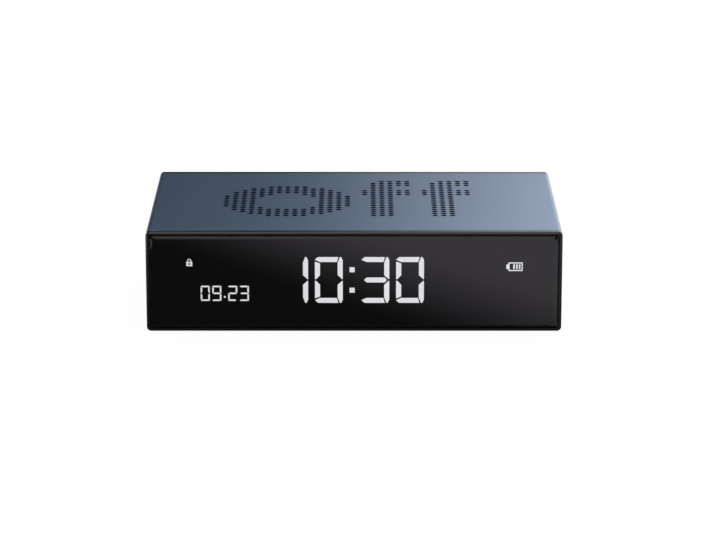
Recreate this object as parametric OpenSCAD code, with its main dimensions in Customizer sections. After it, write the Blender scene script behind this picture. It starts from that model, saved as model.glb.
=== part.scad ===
// Flip-over digital alarm clock: an aluminium sleeve with a display in front and keys at the back.
// The alarm is off or on by which broad face is up. Each face has its word drilled in it as sound holes.
// Millimetres. +X to the right, +Y to the back, +Z up. The origin is under the middle of the case.

/* [Case] */
// Width of the case
case_w = 105; // [94:0.5:130]
// Depth of the case, from the front frame to the back cover
case_d = 64; // [57:1:90]
// Height of the case
case_h = 26; // [23:0.5:34]
// Corner radius of the sleeve and its end pieces
corner_r = 1.1; // [0.8:0.05:1.6]
// Wall of the extruded sleeve
sleeve_wall = 1.4; // [1.2:0.1:1.6]
// Inner corner radius of the sleeve
inner_r = 0.4; // [0.2:0.1:0.6]
// Chamfer on both ends of the sleeve
end_chamfer = 0.35; // [0.1:0.05:0.6]
// How far the front frame and the back cover stand out of the sleeve
end_show = 1.6; // [1:0.1:1.6]
// Bevel on the outer edges of the front frame and the back cover
end_bevel = 0.4; // [0.2:0.05:0.6]
// Outer radius of the screw ports in the sleeve's corners
port_r = 2.35; // [2.1:0.05:2.5]

/* [Sound holes] */
// Diameter of one hole
hole_d = 1.5; // [0.6:0.05:1.6]
// Distance between columns of holes
column_pitch = 2.25; // [1.8:0.01:2.4]
// Distance between rows of holes
row_pitch = 1.985; // [1.7:0.005:2.2]
// Middle of the first letter, across the case
word_x = -17.5; // [-20:0.05:-15]
// Middle of the first letter, from front to back
word_y = -0.3; // [-2:0.05:2]
// Cloth that lies past the outer holes
mesh_margin = 1.5; // [1:0.5:3]
// Thickness of the acoustic cloth
mesh_t = 0.3; // [0.2:0.05:0.5]

/* [Lens and frame] */
// Border of the frame round the lens
lens_inset = 0.95; // [0.9:0.05:1.3]
// Thickness of the lens
lens_t = 0.7; // [0.6:0.05:0.8]
// Corner radius of the lens
lens_r = 0.5; // [0.4:0.05:0.8]
// Chamfer on the lens's front edge
lens_chamfer = 0.45; // [0.1:0.05:0.45]
// Thickness of the tape behind the lens
tape_t = 0.1; // [0.05:0.05:0.15]
// Tape's distance from the lens's edge
tape_inset = 0.3; // [0.2:0.1:0.6]
// Length of the end pieces' skirts inside the sleeve
skirt_l = 2; // [1.5:0.5:3]
// Wall of the skirts
skirt_t = 1.2; // [0.8:0.1:1.4]

/* [Display] */
// Room between the screw ports and the LCD holder
port_room = 0.6; // [0.2:0.1:2]
// Room between the front frame's skirt and the LCD holder
skirt_room = 0.5; // [0.1:0.1:0.6]
// Thickness of the LCD glass
lcd_t = 1.8; // [1.4:0.1:2.2]
// Edge of the LCD glass that the tape covers
view_border = 0.5; // [0.3:0.1:0.8]
// Thickness of a lit figure
figure_t = 0.08; // [0.04:0.01:0.09]
// Width of a time digit
digit_w = 7.02; // [6:0.02:7.4]
// Height of a time digit
digit_h = 12; // [10:0.1:12.6]
// Stroke of a time digit
digit_stroke = 1.29; // [1:0.01:1.6]
// Shift of the time to the right of the LCD glass's middle
time_shift = -0.49; // [-2:0.01:2]
// Lift of the time above the LCD glass's middle
time_lift = 0.36; // [-1:0.01:1]
// Distance from one time digit to the next
digit_pitch = 8.75; // [8.4:0.05:9]
// Extra room for the colon
colon_room = 2.99; // [2.6:0.01:3.4]
// Side of a colon square
colon_side = 1.3; // [1:0.05:1.6]
// Distance of a colon square from the middle of the digits
colon_reach = 2.68; // [2:0.02:3.4]
// Width of a date digit
date_w = 2.31; // [2:0.01:2.6]
// Height of a date digit
date_h = 4; // [3.6:0.1:4.6]
// Stroke of a date digit
date_stroke = 0.4; // [0.35:0.05:0.6]
// Date's distance from the LCD glass's left edge
date_inset = 5.74; // [4.5:0.02:8]
// Foot of the date digits, above the foot of the time digits
date_lift = 0.5; // [0:0.02:2]
// Distance from one date digit to the next
date_pitch = 2.93; // [2.8:0.01:3.2]
// Extra room for the dot between month and day
dot_room = 1.09; // [0.9:0.01:1.4]
// Radius of that dot
dot_r = 0.25; // [0.2:0.01:0.35]
// Middle of that dot, above the foot of the date digits
dot_lift = 1.05; // [0.4:0.05:2]
// Middle of the key lock icon, from the LCD glass's left edge
lock_inset = 2.97; // [1.6:0.01:4]
// Width of the key lock icon
lock_w = 1.52; // [1.4:0.02:2]
// Height of the key lock icon's body
lock_body_h = 1.13; // [1:0.01:1.4]
// Foot of the key lock icon, below the LCD glass's upper edge
lock_drop = 4.52; // [3:0.01:5]
// Outer radius of the lock's shackle
shackle_r = 0.54; // [0.45:0.01:0.65]
// Stroke of the lock's shackle
shackle_t = 0.22; // [0.2:0.01:0.35]
// Radius of the keyhole
keyhole_r = 0.25; // [0.1:0.01:0.4]
// Battery gauge's distance from the LCD glass's right edge
gauge_inset = 1.97; // [0.8:0.01:4]
// Length of the battery gauge with its tip
gauge_l = 4.12; // [3.6:0.02:4.6]
// Length of the gauge's tip
gauge_tip = 0.52; // [0.4:0.01:0.9]
// Height of the gauge's tip
gauge_tip_h = 1.2; // [0.8:0.01:1.8]
// Height of the battery gauge
gauge_h = 2.25; // [2:0.01:2.6]
// Stroke of the battery gauge
gauge_stroke = 0.28; // [0.25:0.01:0.42]
// Foot of the battery gauge, below the LCD glass's upper edge
gauge_drop = 5.79; // [4:0.01:7]
// Bars in the gauge
bar_count = 3; // [1:1:3]
// Width of a bar
bar_w = 0.4; // [0.3:0.01:0.5]
// Gap between bars, and from the last one to the gauge's end
bar_gap = 0.3; // [0.15:0.01:0.4]
// Room above and below the bars
bar_margin = 0.23; // [0.1:0.01:0.5]

/* [Backlight] */
// Thickness of the diffuser film
film_t = 0.2; // [0.1:0.05:0.3]
// Thickness of the light guide
guide_t = 1.5; // [1.3:0.1:2]
// Thickness of the reflector sheet
reflector_t = 0.15; // [0.1:0.05:0.2]
// Thickness of the flexible LED strips
strip_t = 0.3; // [0.2:0.05:0.4]
// Depth of an LED, along the light
led_t = 1; // [0.8:0.1:1.2]
// Length of an LED
led_l = 2.8; // [2:0.1:3]
// LEDs on each strip
led_count = 4; // [2:1:4]
// Height of the contact strip
contact_h = 1.6; // [1.2:0.1:1.8]
// Contact strip's distance from the LCD glass's ends
contact_inset = 5.5; // [2:0.5:12]
// Wall of the LCD holder
holder_wall = 1.2; // [0.8:0.1:1.3]
// Back plate of the LCD holder
holder_t = 1; // [0.8:0.1:1.5]
// Radius of the holder's pegs through the display board
peg_r = 0.8; // [0.6:0.1:1]
// Pegs' distance from the ends of the display board
peg_inset = 3; // [2.5:0.1:5]

/* [Boards] */
// Thickness of both circuit boards
board_t = 1.2; // [0.8:0.1:1.6]
// Room between the screw ports and the rear board
board_room = 1.4; // [0.5:0.1:3]
// Side of the display driver chip
driver_side = 10; // [8:0.5:12]
// Side of the control chip
chip_side = 9; // [7:0.5:10]
// Thickness of both chips
chip_t = 1.2; // [0.8:0.1:1.6]
// Middle of the control chip, across the case
chip_x = -6; // [-8:0.5:-4]
// Radius of the crystal's can
crystal_r = 1; // [0.8:0.1:1.5]
// Length of the crystal's can
crystal_l = 6; // [5:0.5:8]
// Left end of the crystal's can
crystal_x = 4; // [3:0.5:6]
// Side of the charging coil's base
coil_side = 6; // [5:0.5:7]
// Thickness of the charging coil's base
coil_base_t = 0.75; // [0.5:0.05:1]
// Radius of the charging coil
coil_r = 2.7; // [2:0.1:3]
// Height of the charging coil
coil_h = 3; // [2.5:0.1:4]
// Width of the flat cable
cable_w = 12; // [8:1:16]
// Thickness of the flat cable
cable_t = 0.3; // [0.2:0.05:0.4]
// Height of a cable socket
socket_h = 2.2; // [1.8:0.1:2.4]
// Depth of a cable socket, off its board
socket_d = 2; // [1.8:0.1:3]

/* [Chassis] */
// Thickness of the chassis's floor and walls
chassis_t = 1.2; // [1:0.1:1.6]
// Height of the ribs round the battery
rib_h = 2.4; // [1.5:0.1:2.5]
// Thickness of those ribs
rib_t = 1; // [0.8:0.1:1.5]
// Room between the battery bay and the loudspeaker's seat
bay_gap = 2; // [1:0.5:4]
// Radius of the bosses for the board screws
boss_r = 2.2; // [1.8:0.1:2.4]
// Length of those bosses
boss_l = 4.6; // [4:0.1:5]
// Bosses' distance from the ends of the rear board
boss_inset = 3; // [2.5:0.1:4]

/* [Battery] */
// Room in front of and behind the battery bay
battery_room = 6.6; // [5:0.1:9]
// Thickness of the pouch cell
battery_t = 6.5; // [4:0.5:8]
// Thickness of the tape under the cell
battery_tape_t = 0.2; // [0.1:0.05:0.3]
// Rounding of the cell's corners
battery_r = 2; // [1:0.5:3]
// Cell's distance from the chassis's side wall
battery_side = 3; // [2.5:0.1:4]
// Diameter of one lead wire
wire_d = 1; // [0.8:0.1:1.2]
// Distance between the two wires of a lead
wire_pitch = 2; // [1.6:0.1:3]
// Width of the battery plug
plug_w = 6; // [5:0.5:8]
// Height of the battery plug
plug_h = 5; // [4:0.5:6]
// Depth of the battery plug, off its board
plug_d = 4.5; // [4:0.1:5]

/* [Loudspeaker] */
// Diameter of the loudspeaker
speaker_d = 32; // [28:1:34]
// Room between the loudspeaker's seat and the screw ports
speaker_room = 9.2; // [1:0.1:12]
// Thickness of its flange
speaker_flange_t = 1; // [0.8:0.1:1.4]
// Width of its flange
speaker_flange_w = 2.6; // [2.2:0.1:3]
// Depth of its basket below the flange
basket_depth = 4.3; // [4:0.1:5]
// Wall of the basket
basket_t = 0.6; // [0.5:0.1:0.8]
// Diameter of the magnet
magnet_d = 18; // [16:0.5:20]
// Height of the magnet
magnet_h = 5.4; // [5:0.1:6]
// Diameter of the pole inside the coil
pole_d = 8; // [7:0.5:9]
// Width of the magnet's ring gap
ring_gap = 1; // [0.9:0.1:1.3]
// Wall of the voice coil
voice_coil_t = 0.5; // [0.4:0.05:0.6]
// Length of the voice coil
voice_coil_l = 4; // [3.5:0.1:4.5]
// Thickness of the cone
cone_t = 0.3; // [0.2:0.05:0.4]
// Travel of the cone each way
cone_travel = 0.3; // [0.2:0.05:0.4]
// Height of the foam gasket above the flange
gasket_t = 3; // [2:0.1:4]
// Width of the foam gasket
gasket_w = 2; // [1.5:0.1:2.2]
// Wall of the seat round the flange
seat_wall = 1.2; // [1:0.1:1.6]
// Height of the lead's terminal under the basket
terminal_h = 1.6; // [1.4:0.1:2]

/* [Keys] */
// Thickness of the back cover
cover_t = 2.6; // [2.4:0.1:3]
// Depth of the recess that the keys stand in
recess_depth = 0.8; // [0.5:0.1:1]
// Recess beyond the outer keys
recess_margin = 3; // [2.5:0.1:4]
// Width of a key
key_w = 10; // [8:0.5:11]
// Height of a key
key_h = 6; // [5:0.5:8]
// Corner radius of a key
key_r = 2; // [1:0.1:2.4]
// Bevel on a key's face
key_bevel = 0.3; // [0.1:0.05:0.4]
// Distance from one key to the next
key_pitch = 14; // [13.5:0.5:16]
// Middle of the row of keys, across the case
keys_x = 9; // [5:0.5:10]
// How far a key's face lies below the back cover's
key_sink = 0.1; // [0.05:0.05:0.3]
// Travel of a key
key_travel = 0.35; // [0.2:0.05:0.4]
// Flange that holds a key behind the cover
key_flange = 1; // [0.8:0.1:1.2]
// Thickness of that flange
key_flange_t = 0.6; // [0.5:0.1:1]
// Free height of a switch plunger
plunger_show = 0.5; // [0.45:0.05:0.8]
// Length of a plunger inside its switch
plunger_in = 0.9; // [0.6:0.1:1]
// Radius of a plunger
plunger_r = 1.5; // [1.2:0.1:1.8]
// Side of a key switch
switch_side = 6; // [5:0.5:6.5]
// Height of a key switch
switch_t = 2.5; // [2.2:0.1:3.5]

/* [Charging socket] */
// Width of the socket's shell
usb_w = 8.94; // [8.9:0.01:9]
// Height of the socket's shell
usb_h = 3.26; // [3.2:0.01:3.3]
// Wall of the shell
usb_wall = 0.3; // [0.25:0.05:0.35]
// Width of the contact tongue
tongue_w = 6.7; // [6.4:0.1:6.9]
// Thickness of the contact tongue
tongue_t = 0.7; // [0.6:0.05:0.8]
// Depth of the tongue's tip inside the shell
tongue_sink = 1; // [0.8:0.1:2]
// How far the shell's mouth lies below the back cover's face
usb_sink = 0.4; // [0.2:0.1:0.8]
// Middle of the socket, from the left end of the rear board
usb_inset = 11; // [9.5:0.5:14]

/* [Tilt switch] */
// Outer radius of the can
tilt_r = 2.6; // [2.4:0.1:2.8]
// Wall of the can
tilt_wall = 0.4; // [0.3:0.05:0.5]
// Height of the can
tilt_h = 6.8; // [6:0.1:8]
// Thickness of the base
tilt_base_t = 1.2; // [1:0.1:1.5]
// Radius of the ball
ball_r = 1.9; // [1.6:0.05:2]

/* [Screws] */
// Radius of the case screws' shanks
screw_r = 1; // [0.8:0.05:1.1]
// Length of the case screws
screw_l = 7; // [5:0.5:10]
// Radius of the case screws' heads
head_r = 1.9; // [1.7:0.05:2]
// Height of the back screws' heads
head_h = 1.1; // [0.8:0.1:1.2]
// Radius of the board screws' shanks
board_screw_r = 0.9; // [0.7:0.05:1]
// Length of the board screws
board_screw_l = 5; // [4:0.5:5.5]
// Width of the slots in all screw heads
slot_w = 0.5; // [0.3:0.05:0.6]
// Depth of those slots
slot_depth = 0.5; // [0.3:0.05:0.6]

/* [Fits] */
// Gap round the end pieces inside the sleeve, and round pieces in their pockets
fit_gap = 0.1; // [0.05:0.05:0.15]
// Gap round the chassis in the sleeve, and round the screw ports
slide_gap = 0.2; // [0.1:0.05:0.25]
// Shadow gap round the lens in the frame
lens_gap = 0.25; // [0.15:0.05:0.3]
// Gap round a key, and behind the cover above its flange
key_gap = 0.15; // [0.1:0.05:0.2]
// Radial gap of a plunger in its switch
plunger_gap = 0.05; // [0.03:0.01:0.08]
// Radial gap of a screw in its threaded hole
thread_gap = 0.02; // [0.01:0.01:0.05]
// Radial gap of a screw in a plain hole
screw_gap = 0.15; // [0.1:0.05:0.2]
// Gap between the ball and the ends of its can
ball_gap = 0.03; // [0.02:0.01:0.05]
// Gap round the battery, and between the cone and the basket
bay_fit = 0.3; // [0.2:0.05:0.4]

/* [Hidden] */
$fn = 48;
// Cuts reach this far past the solid, and pieces of one solid this far into each other
cut = 1;
weld = 0.3;

mid_z = case_h / 2;
front_y = -case_d / 2;
back_y = case_d / 2;

// The sleeve's inside, and the screw ports in its corners
sleeve_front = front_y + end_show;
sleeve_back = back_y - end_show;
floor_z = sleeve_wall;
roof_z = case_h - sleeve_wall;
in_w = case_w - 2 * sleeve_wall;
in_h = case_h - 2 * sleeve_wall;
port_x = in_w / 2 - port_r;
port_z = in_h / 2 - port_r;
port_spots = [for (x = [-1, 1], z = [-1, 1]) [x * port_x, mid_z + z * port_z]];

// Front stack, from the lens to the display board
lens_w = case_w - 2 * lens_inset;
lens_h = case_h - 2 * lens_inset;
lens_back = front_y + lens_t;
lcd_w = in_w - 2 * (2 * port_r + port_room + holder_wall + fit_gap);
lcd_h = in_h - 2 * (skirt_t + skirt_room + holder_wall + 2 * fit_gap);
lcd_front = lens_back + tape_t;
lcd_back = lcd_front + lcd_t;
lcd_foot = mid_z - lcd_h / 2;
guide_front = lcd_back + film_t;
reflector_front = guide_front + guide_t;
holder_floor = reflector_front + reflector_t;
holder_back = holder_floor + holder_t;
holder_w = lcd_w + 2 * fit_gap + 2 * holder_wall;
holder_h = lcd_h + 2 * fit_gap + 2 * holder_wall;
pocket_w = lcd_w + 2 * fit_gap;
pocket_h = lcd_h + 2 * fit_gap;
display_board_back = holder_back + board_t;
contact_l = lcd_w - 2 * contact_inset;
contact_z = lcd_foot + 2 * fit_gap;
guide_foot = contact_z + contact_h + 2 * fit_gap;
guide_top = mid_z + lcd_h / 2 - fit_gap;
guide_w = pocket_w - 2 * (strip_t + led_t + fit_gap);
board_foot = mid_z - holder_h / 2;
peg_spots = [for (x = [-1, 1], z = [-1, 1])
    [x * (holder_w / 2 - peg_inset), mid_z + z * (holder_h / 2 - peg_inset)]];

// Places of the lit figures, across the glass from its middle and up from its foot
time_w = 3 * digit_pitch + colon_room + digit_w;
time_x = time_shift - time_w / 2;
time_rise = (lcd_h - digit_h) / 2 + time_lift;
date_x = date_inset - lcd_w / 2;
date_rise = time_rise + date_lift;
lock_x = lock_inset - lcd_w / 2;
lock_rise = lcd_h - lock_drop;
gauge_x = lcd_w / 2 - gauge_inset - gauge_l;
gauge_rise = lcd_h - gauge_drop;

// Back stack, from the cover to the rear board
cover_in = back_y - cover_t;
recess_floor = back_y - recess_depth;
flange_back = cover_in - key_gap;
flange_front = flange_back - key_flange_t;
switch_top = flange_front - plunger_show;
rear_board_back = switch_top - switch_t;
rear_board_front = rear_board_back - board_t;
rear_board_w = in_w - 2 * (2 * port_r + board_room);
boss_x = rear_board_w / 2 - boss_inset;
key_count = 4;
key_spots = [for (i = [0 : key_count - 1]) keys_x + (i - (key_count - 1) / 2) * key_pitch];
usb_x = usb_inset - rear_board_w / 2;
usb_front = rear_board_back;
post_z = board_foot + holder_h - boss_r - board_t;
usb_mouth = back_y - usb_sink;

// Loudspeaker's seat beside the right-hand screw ports
speaker_r = speaker_d / 2;
seat_pocket_r = speaker_r + fit_gap;
seat_r = seat_pocket_r + seat_wall;
speaker_x = in_w / 2 - 2 * port_r - speaker_room - seat_r;

// Chassis, between the two boards and on the lower screw ports
chassis_w = in_w - 2 * slide_gap;
chassis_foot = floor_z + 2 * port_r;
chassis_floor = chassis_foot + chassis_t;
chassis_top = roof_z - 2 * port_r - slide_gap;
bay_y = (display_board_back + rear_board_front) / 2;
battery_w = rear_board_front - display_board_back - 2 * (battery_room + rib_t + bay_fit);
battery_left = chassis_t + battery_side - chassis_w / 2;
battery_right = speaker_x - seat_r - bay_gap - rib_t - bay_fit;
battery_l = battery_right - battery_left;
battery_x = (battery_left + battery_right) / 2;
battery_foot = chassis_floor + battery_tape_t;
lead_z = battery_foot + battery_t / 2;
boss_z = chassis_floor + boss_r;

// Charging coil, midway between a boss and the battery plug
coil_x = (boss_r - boss_x + battery_x - plug_w / 2) / 2;

// Loudspeaker, hung from the top cloth downwards
mesh_low = roof_z - mesh_t;
seat_in_r = speaker_r - speaker_flange_w / 2;
flange_top = mesh_low - gasket_t;
flange_low = flange_top - speaker_flange_t;
basket_low = flange_low - basket_depth;
basket_r = magnet_d / 2;
flange_in_r = speaker_r - speaker_flange_w;
magnet_low = basket_low - magnet_h;
pole_r = pole_d / 2;
voice_coil_r = pole_r + (ring_gap - voice_coil_t) / 2;
voice_coil_top = basket_low + basket_t + 2 * cone_travel;
cone_r = flange_in_r - bay_fit;
cone_rim = flange_low + basket_t + cone_travel;
terminal_z = basket_low + basket_t;
terminal_y = basket_r + basket_t + 1.5 * wire_d;

// Flat cable between the boards, under the chassis
cable_z = chassis_foot - slide_gap - socket_h / 2;
cable_in = socket_d - cable_t;

// Ball switch on the rear board, midway between the loudspeaker's leads and a board screw
tilt_x = (speaker_x + boss_x) / 2;
tilt_y = rear_board_front - bay_fit - tilt_r;
tilt_z = chassis_floor + tilt_base_t;
ball_rest = tilt_z + tilt_wall + ball_gap + ball_r;

// Sound holes of the words: columns are counted from the middle of the first letter, rows from the foot.
// Round letters have a half width in columns and a half height in rows.
o_half = 7;
o_rows = 16;
o_mid = (o_rows - 1) / 2;
bowl = [7.5, 8];
eye = [3.7, 4.1];
eye_row = 7.25;
second_letter = 9;
third_letter = 16;
f_columns = 6;
f_rows = 19;
crossbar = [11, 13];
top_bar = 3;
word_end = third_letter + f_columns - 1;
arch_x = 6;
arch_row = 8;
arch = [6.4, 7.6];
arch_eye = [2.9, 3.4];
n_stem = 3;

function inside_oval(c, q, r) = pow(c / r[0], 2) + pow(q / r[1], 2) < 1;

function o_hole(c, q) = inside_oval(c, q - o_mid, bowl) && !inside_oval(c, q - eye_row, eye);

function f_hole(c, q) =
    let (on_bar = q >= crossbar[0] && q <= crossbar[1])
    c == 0 ? on_bar :
    c == 1 ? q < f_rows - 1 :
    c <= 3 ? true :
    on_bar || q >= f_rows - top_bar;

function n_hole(c, q) =
    let (a = c - arch_x, b = q - arch_row)
    c <= n_stem ||
    (b <= 0 && a >= arch_x - n_stem) ||
    (b > 0 && inside_oval(a, b, arch) && !inside_oval(a, b, arch_eye));

o_holes = [for (c = [-o_half : o_half], q = [0 : o_rows - 1]) if (o_hole(c, q)) [c, q]];
f_holes = [for (c = [0 : f_columns - 1], q = [0 : f_rows - 1]) if (f_hole(c, q)) [c, q]];
n_holes = [for (c = [0 : 2 * arch_x], q = [0 : o_rows - 1]) if (n_hole(c, q)) [c, q]];
off_holes = concat(o_holes, [for (b = [second_letter, third_letter], h = f_holes) [h[0] + b, h[1]]]);
on_holes = concat(o_holes, [for (h = n_holes) [h[0] + second_letter, h[1]]]);

// Which of the seven strokes each digit lights: top, upper right, lower right, foot, lower left,
// upper left, middle
strokes = [
    [1, 1, 1, 1, 1, 1, 0], [0, 1, 1, 0, 0, 0, 0], [1, 1, 0, 1, 1, 0, 1], [1, 1, 1, 1, 0, 0, 1],
    [0, 1, 1, 0, 0, 1, 1], [1, 0, 1, 1, 0, 1, 1], [1, 0, 1, 1, 1, 1, 1], [1, 1, 1, 0, 0, 0, 0],
    [1, 1, 1, 1, 1, 1, 1], [1, 1, 1, 1, 0, 1, 1]];
time_shown = [1, 0, 3, 0];
date_shown = [0, 9, 2, 3];

// A box between two corners
module block(low, high) {
    translate(low) cube(high - low);
}

// A flat outline in X and Z, thickened from y0 to y1
module along_y(y0, y1) {
    translate([0, y1, 0]) rotate([90, 0, 0]) linear_extrude(y1 - y0) children();
}

// A round bar along Y
module rod_y(x, z, r, y0, y1) {
    translate([x, y0, z]) rotate([-90, 0, 0]) cylinder(h = y1 - y0, r = r);
}

// A round bar that widens or narrows along Y
module cone_y(x, z, r0, r1, y0, y1) {
    translate([x, y0, z]) rotate([-90, 0, 0]) cylinder(h = y1 - y0, r1 = r0, r2 = r1);
}

// A rectangle with round corners, centred
module rounded_rect(w, h, r) {
    square([w - 2 * r, h], center = true);
    square([w, h - 2 * r], center = true);
    for (x = [-1, 1], z = [-1, 1]) translate([x * (w / 2 - r), z * (h / 2 - r)]) circle(r);
}

// One edge of a bar seen from the side, bevelled at either end
function edge(half, y0, y1, bevel0, bevel1) = concat(
    bevel0 > 0 ? [[y0, half - bevel0], [y0 + bevel0, half]] : [[y0, half]],
    bevel1 > 0 ? [[y1 - bevel1, half], [y1, half - bevel1]] : [[y1, half]]);

function flipped(points) = [for (i = [len(points) - 1 : -1 : 0]) [points[i][0], -points[i][1]]];

// A bar along Y with round corners and bevelled ends, centred on the Y axis
module bevelled_bar(w, h, r, y0, y1, bevel0, bevel1) {
    side = edge(h / 2, y0, y1, bevel0, bevel1);
    plan = edge(w / 2, y0, y1, bevel0, bevel1);
    corner = edge(r, y0, y1, bevel0, bevel1);
    translate([r - w / 2, 0, 0]) rotate([90, 0, 90]) linear_extrude(w - 2 * r)
        polygon(concat(side, flipped(side)));
    translate([0, 0, r - h / 2]) linear_extrude(h - 2 * r)
        polygon([for (p = concat(plan, flipped(plan))) [p[1], p[0]]]);
    for (x = [-1, 1], z = [-1, 1]) translate([x * (w / 2 - r), 0, z * (h / 2 - r)])
        rotate([-90, 0, 0]) rotate_extrude()
            polygon(concat([[0, y0]], [for (p = corner) [p[1], p[0]]], [[0, y1]]));
}

// One screw port: a round bar filled out to the two walls of its corner
module port_outline(grow) {
    for (x = [-1, 1], z = [-1, 1]) mirror([x > 0 ? 0 : 1, 0]) mirror([0, z > 0 ? 0 : 1]) {
        translate([port_x, port_z]) circle(port_r + grow);
        translate([port_x - port_r - grow, port_z]) square([2 * port_r + grow, port_r + fit_gap]);
        translate([port_x, port_z - port_r - grow]) square([port_r + fit_gap, 2 * port_r + grow]);
    }
}

// Slots across a screw head, sunk from the face at y towards the way given
module head_slots(x, z, y, way) {
    for (turn = [0, 90]) translate([x, y, z]) rotate([0, turn, 0])
        block([-head_r / 2, min(0, way * slot_depth), -slot_w / 2],
            [head_r / 2, max(0, way * slot_depth), slot_w / 2]);
}

module drill_word(holes, side) {
    z0 = side > 0 ? roof_z - cut : -cut;
    for (h = holes)
        translate([side * (word_x + h[0] * column_pitch), word_y + (h[1] - o_mid) * row_pitch, z0])
            cylinder(h = sleeve_wall + 2 * cut, d = hole_d);
}

module case_sleeve() {
    color("slategray") difference() {
        union() {
            difference() {
                translate([0, 0, mid_z])
                    bevelled_bar(case_w, case_h, corner_r, sleeve_front, sleeve_back,
                        end_chamfer, end_chamfer);
                along_y(sleeve_front - cut, sleeve_back + cut)
                    translate([0, mid_z]) rounded_rect(in_w, in_h, inner_r);
            }
            along_y(lcd_back, cover_in) translate([0, mid_z]) port_outline(0);
        }
        for (p = port_spots) rod_y(p[0], p[1], screw_r + thread_gap, sleeve_front, sleeve_back);
        drill_word(off_holes, 1);
        drill_word(on_holes, -1);
    }
}

// Body of an end piece: the part that shows, the insert in the sleeve and the skirt behind it
module end_piece(outer0, outer1, insert0, insert1, skirt0, skirt1, bevel0, bevel1) {
    insert_w = in_w - 2 * fit_gap;
    insert_h = in_h - 2 * fit_gap;
    translate([0, 0, mid_z])
        bevelled_bar(case_w, case_h, corner_r, outer0, outer1, bevel0, bevel1);
    along_y(insert0, insert1) translate([0, mid_z]) rounded_rect(insert_w, insert_h, inner_r);
    along_y(skirt0, skirt1) translate([0, mid_z]) difference() {
        rounded_rect(insert_w, insert_h, inner_r);
        square([insert_w - 2 * skirt_t, insert_h - 2 * skirt_t], center = true);
        port_outline(slide_gap);
    }
}

module front_frame() {
    color("black") difference() {
        end_piece(front_y, sleeve_front, sleeve_front - weld, lcd_back, lcd_back - weld,
            lcd_back + skirt_l, end_bevel, 0);
        along_y(front_y - cut, lcd_front) translate([0, mid_z])
            rounded_rect(lens_w + 2 * lens_gap, lens_h + 2 * lens_gap, lens_r + lens_gap);
        along_y(front_y, lcd_back + cut) translate([0, mid_z]) square([pocket_w, pocket_h], center = true);
        for (p = port_spots) {
            rod_y(p[0], p[1], screw_r + screw_gap, front_y, lcd_back + cut);
            cone_y(p[0], p[1], head_r + thread_gap, screw_r + thread_gap, lcd_front,
                lcd_front + head_r - screw_r);
        }
    }
}

module display_lens() {
    color([0.1, 0.1, 0.12, 0.6]) translate([0, 0, mid_z])
        bevelled_bar(lens_w, lens_h, lens_r, front_y, lens_back, lens_chamfer, 0);
}

module lens_tape() {
    color("black") along_y(lens_back, lcd_front) translate([0, mid_z]) difference() {
        square([lens_w - 2 * tape_inset, lens_h - 2 * tape_inset], center = true);
        square([lcd_w - 2 * view_border, lcd_h - 2 * view_border], center = true);
    }
}

module lcd_panel() {
    color([0.05, 0.05, 0.06]) block([-lcd_w / 2, lcd_front, lcd_foot],
        [lcd_w / 2, lcd_back, lcd_foot + lcd_h]);
}

// Outline of one stroke of a digit w wide and h tall, where s is the stroke's width.
// The four upper outlines also give the lower ones, turned upside down.
function top_stroke(w, h, s) =
    [[0, h - 0.55 * s], [0.6 * s, h], [w - 0.88 * s, h], [w - 1.15 * s, h - s], [s, h - s]];

function right_stroke(w, h, s) =
    [[w - 0.58 * s, h], [w - 0.31 * s, h], [w, h - 0.63 * s], [w, h / 2 + 0.18 * s],
        [w - 0.12 * s, h / 2 + 0.18 * s], [w - s, h / 2 + s], [w - s, h - 1.16 * s]];

function left_stroke(w, h, s) =
    [[0, h - 0.92 * s], [s, h - 1.3 * s], [s, h / 2 + 0.97 * s],
        [0.25 * s, h / 2 + 0.18 * s], [0, h / 2 + 0.18 * s]];

function middle_stroke(w, h, s) =
    [[0.5 * s, h / 2], [1.05 * s, h / 2 + s / 2], [w - 0.9 * s, h / 2 + s / 2],
        [w - 0.48 * s, h / 2], [w - 0.9 * s, h / 2 - s / 2], [1.05 * s, h / 2 - s / 2]];

module digit(value, w, h, s) {
    upper = [top_stroke(w, h, s), right_stroke(w, h, s), left_stroke(w, h, s)];
    lit = strokes[value];
    if (lit[0] == 1) polygon(upper[0]);
    if (lit[1] == 1) polygon(upper[1]);
    if (lit[5] == 1) polygon(upper[2]);
    translate([0, h]) mirror([0, 1]) {
        if (lit[2] == 1) polygon(upper[1]);
        if (lit[3] == 1) polygon(upper[0]);
        if (lit[4] == 1) polygon(upper[2]);
    }
    if (lit[6] == 1) polygon(middle_stroke(w, h, s));
}

// Lit figures lie on the front of the LCD glass
module on_glass() {
    color("white") along_y(lcd_front - figure_t, lcd_front) translate([0, lcd_foot]) children();
}

module time_segments() {
    colon_x = time_x + 2 * digit_pitch - (digit_pitch - digit_w) / 2 + (colon_room - colon_side) / 2;
    on_glass() {
        for (i = [0 : 3]) translate([time_x + i * digit_pitch + (i > 1 ? colon_room : 0), time_rise])
            digit(time_shown[i], digit_w, digit_h, digit_stroke);
        for (side = [-1, 1])
            translate([colon_x, time_rise + digit_h / 2 + side * colon_reach - colon_side / 2])
                square(colon_side);
    }
}

module date_segments() {
    dot_x = date_x + 2 * date_pitch - (date_pitch - date_w) / 2 + dot_room / 2;
    on_glass() {
        for (i = [0 : 3]) translate([date_x + i * date_pitch + (i > 1 ? dot_room : 0), date_rise])
            digit(date_shown[i], date_w, date_h, date_stroke);
        translate([dot_x, date_rise + dot_lift]) circle(dot_r);
    }
}

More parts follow.
